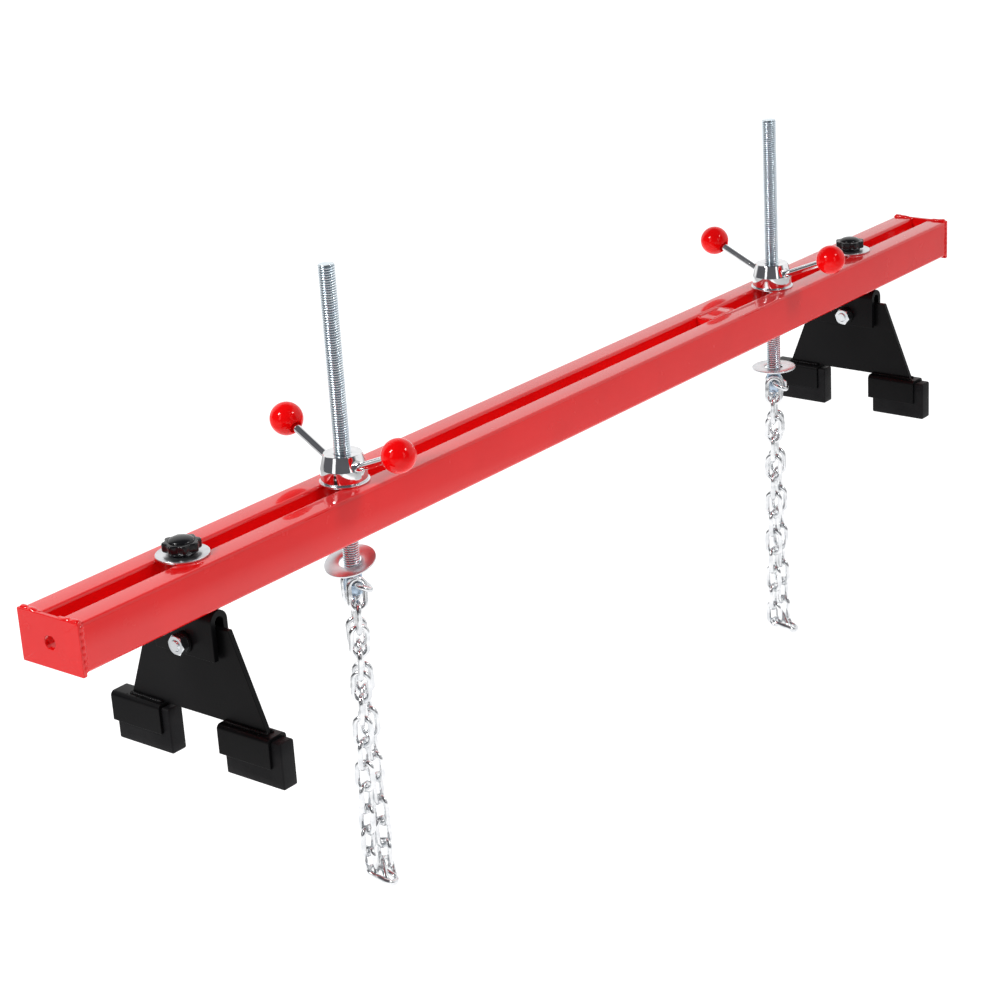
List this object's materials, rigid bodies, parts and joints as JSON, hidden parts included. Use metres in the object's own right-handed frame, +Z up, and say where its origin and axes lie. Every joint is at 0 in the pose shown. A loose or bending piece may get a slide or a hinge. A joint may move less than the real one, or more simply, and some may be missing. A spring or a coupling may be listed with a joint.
{
  "type": "engine support beam",
  "caption": "Twin-rail support bar with sliding screw spindles, chain loops and tilting rubber-footed legs, used to hold an engine from above.",
  "frame": {"origin": "under the middle of the beam, in the plane of the four rubber soles", "axes": "+X along the beam towards the leg with the lower screw, +Y across the beam, +Z up"},
  "size_m": [1.45, 0.2045, 0.633],
  "materials": {
    "red_paint": "semi-gloss red enamel over welded steel tube, slightly rounded weld runs at the end plates",
    "black_paint": "satin black powder coat with weld spatter near the feet",
    "black_rubber": "moulded black rubber, fine matt grain",
    "knob_plastic": "glossy moulded black plastic",
    "red_ball_plastic": "high-gloss red phenolic plastic",
    "brass_insert": "turned brass insert",
    "polished_steel": "bright turned and polished steel",
    "zinc_plate": "bright zinc plated pressed washer steel",
    "bright_zinc": "bright zinc plated fastener steel",
    "zinc_thread": "blue-white zinc plated rolled thread",
    "blue_zinc": "blue passivated zinc on flattened steel",
    "chain_zinc": "bright zinc plated welded chain wire"
  },
  "bodies": {
    "beam": {"rail_front": "red_paint", "rail_back": "red_paint", "end_plate_left": "red_paint", "end_plate_right": "red_paint", "slot_spacer": "red_paint"},
    "leg_slider_left": {"knob_washer_left": "zinc_plate"},
    "leg_head_left": {"saddle_left": "black_paint", "leg_stud_left": "zinc_plate", "pivot_bolt_left": "bright_zinc", "pivot_washer_left": "black_paint", "pivot_nut_left": "bright_zinc"},
    "knob_turner_left": {"knob_left": "knob_plastic", "knob_insert_left": "brass_insert"},
    "foot_frame_left": {"leg_plate_left": "black_paint", "shoe_front_left": "black_paint", "pad_front_left": "black_rubber", "shoe_back_left": "black_paint", "pad_back_left": "black_rubber"},
    "carriage_left": {"hub_washer_left": "zinc_plate"},
    "hub_left": {"hub_nut_left": "polished_steel", "lever_front_left": "polished_steel", "ball_front_left": "red_ball_plastic", "lever_back_left": "polished_steel", "ball_back_left": "red_ball_plastic"},
    "rod_left": {"threaded_rod_left": "zinc_thread", "rod_eye_left": "blue_zinc"},
    "washer_ring_left": {"loose_washer_left": "zinc_plate"},
    "chain_upper_left": {"chain_upper_left": "chain_zinc"},
    "chain_middle_left": {"chain_middle_left": "chain_zinc"},
    "chain_lower_left": {"chain_lower_left": "chain_zinc"},
    "leg_slider_right": {"knob_washer_right": "zinc_plate"},
    "leg_head_right": {"saddle_right": "black_paint", "leg_stud_right": "zinc_plate", "pivot_bolt_right": "bright_zinc", "pivot_washer_right": "black_paint", "pivot_nut_right": "bright_zinc"},
    "knob_turner_right": {"knob_right": "knob_plastic", "knob_insert_right": "brass_insert"},
    "foot_frame_right": {"leg_plate_right": "black_paint", "shoe_front_right": "black_paint", "pad_front_right": "black_rubber", "shoe_back_right": "black_paint", "pad_back_right": "black_rubber"},
    "carriage_right": {"hub_washer_right": "zinc_plate"},
    "hub_right": {"hub_nut_right": "polished_steel", "lever_front_right": "polished_steel", "ball_front_right": "red_ball_plastic", "lever_back_right": "polished_steel", "ball_back_right": "red_ball_plastic"},
    "rod_right": {"threaded_rod_right": "zinc_thread", "rod_eye_right": "blue_zinc"},
    "washer_ring_right": {"loose_washer_right": "zinc_plate"},
    "chain_upper_right": {"chain_upper_right": "chain_zinc"},
    "chain_middle_right": {"chain_middle_right": "chain_zinc"},
    "chain_lower_right": {"chain_lower_right": "chain_zinc"}
  },
  "joints": [
    {"name": "leg_slide_left", "type": "slide", "parent": "beam", "child": "leg_slider_left", "axis": [1, 0, 0], "range_m": [-0.08, 0.07]},
    {"name": "leg_swivel_left", "type": "hinge", "parent": "leg_slider_left", "child": "leg_head_left", "pos_m": [-0.571, 0, 0.194], "axis": [0, 0, 1], "range_deg": [-45, 45]},
    {"name": "knob_turn_left", "type": "hinge", "parent": "leg_head_left", "child": "knob_turner_left", "pos_m": [-0.571, 0, 0.194], "axis": [0, 0, 1], "continuous": true},
    {"name": "leg_tilt_left", "type": "hinge", "parent": "leg_head_left", "child": "foot_frame_left", "pos_m": [-0.571, 0, 0.117], "axis": [1, 0, 0], "range_deg": [-12, 12]},
    {"name": "screw_slide_left", "type": "slide", "parent": "beam", "child": "carriage_left", "axis": [1, 0, 0], "range_m": [-0.069, 0.567]},
    {"name": "hub_turn_left", "type": "hinge", "parent": "carriage_left", "child": "hub_left", "pos_m": [-0.3625, 0, 0.194], "axis": [0, 0, 1], "range_deg": [-1870, 23385]},
    {"name": "rod_lift_left", "type": "slide", "parent": "carriage_left", "child": "rod_left", "axis": [0, 0, 1], "range_m": [-0.15, 0.012]},
    {"name": "washer_lift_left", "type": "slide", "parent": "rod_left", "child": "washer_ring_left", "axis": [0, 0, 1], "range_m": [0, 0.012]},
    {"name": "chain_swing_left", "type": "hinge", "parent": "rod_left", "child": "chain_upper_left", "pos_m": [-0.3625, 0, 0.09435], "axis": [-0.5, -0.866, 0], "range_deg": [-15, 15]},
    {"name": "chain_bend_middle_left", "type": "hinge", "parent": "chain_upper_left", "child": "chain_middle_left", "pos_m": [-0.3625, 0, 0.00045], "axis": [-0.7793, -0.6266, 0], "range_deg": [-18, 18]},
    {"name": "chain_bend_lower_left", "type": "hinge", "parent": "chain_middle_left", "child": "chain_lower_left", "pos_m": [-0.3625, 0, -0.09315], "axis": [-0.9532, -0.3024, 0], "range_deg": [-18, 18]},
    {"name": "leg_slide_right", "type": "slide", "parent": "beam", "child": "leg_slider_right", "axis": [1, 0, 0], "range_m": [-0.05, 0.08]},
    {"name": "leg_swivel_right", "type": "hinge", "parent": "leg_slider_right", "child": "leg_head_right", "pos_m": [0.549, 0, 0.194], "axis": [0, 0, 1], "range_deg": [-45, 45]},
    {"name": "knob_turn_right", "type": "hinge", "parent": "leg_head_right", "child": "knob_turner_right", "pos_m": [0.549, 0, 0.194], "axis": [0, 0, 1], "continuous": true},
    {"name": "leg_tilt_right", "type": "hinge", "parent": "leg_head_right", "child": "foot_frame_right", "pos_m": [0.549, 0, 0.117], "axis": [1, 0, 0], "range_deg": [-12, 12]},
    {"name": "screw_slide_right", "type": "slide", "parent": "beam", "child": "carriage_right", "axis": [1, 0, 0], "range_m": [-0.054, 0.09]},
    {"name": "hub_turn_right", "type": "hinge", "parent": "carriage_right", "child": "hub_right", "pos_m": [0.374, 0, 0.194], "axis": [0, 0, 1], "range_deg": [-3117, 23385]},
    {"name": "rod_lift_right", "type": "slide", "parent": "carriage_right", "child": "rod_right", "axis": [0, 0, 1], "range_m": [-0.15, 0.02]},
    {"name": "washer_lift_right", "type": "slide", "parent": "rod_right", "child": "washer_ring_right", "axis": [0, 0, 1], "range_m": [0, 0.02]},
    {"name": "chain_swing_right", "type": "hinge", "parent": "rod_right", "child": "chain_upper_right", "pos_m": [0.374, 0, 0.08135], "axis": [-0.848, -0.5299, 0], "range_deg": [-15, 15]},
    {"name": "chain_bend_middle_right", "type": "hinge", "parent": "chain_upper_right", "child": "chain_middle_right", "pos_m": [0.374, 0, -0.01255], "axis": [-0.9272, -0.3746, 0], "range_deg": [-18, 18]},
    {"name": "chain_bend_lower_right", "type": "hinge", "parent": "chain_middle_right", "child": "chain_lower_right", "pos_m": [0.374, 0, -0.10615], "axis": [-0.9781, -0.2079, 0], "range_deg": [-18, 18]}
  ],
  "couplings": [
    {"joint": "rod_lift_left", "follows": "hub_turn_left", "m_per_rad": -0.0003675},
    {"joint": "rod_lift_right", "follows": "hub_turn_right", "m_per_rad": -0.0003675}
  ]
}
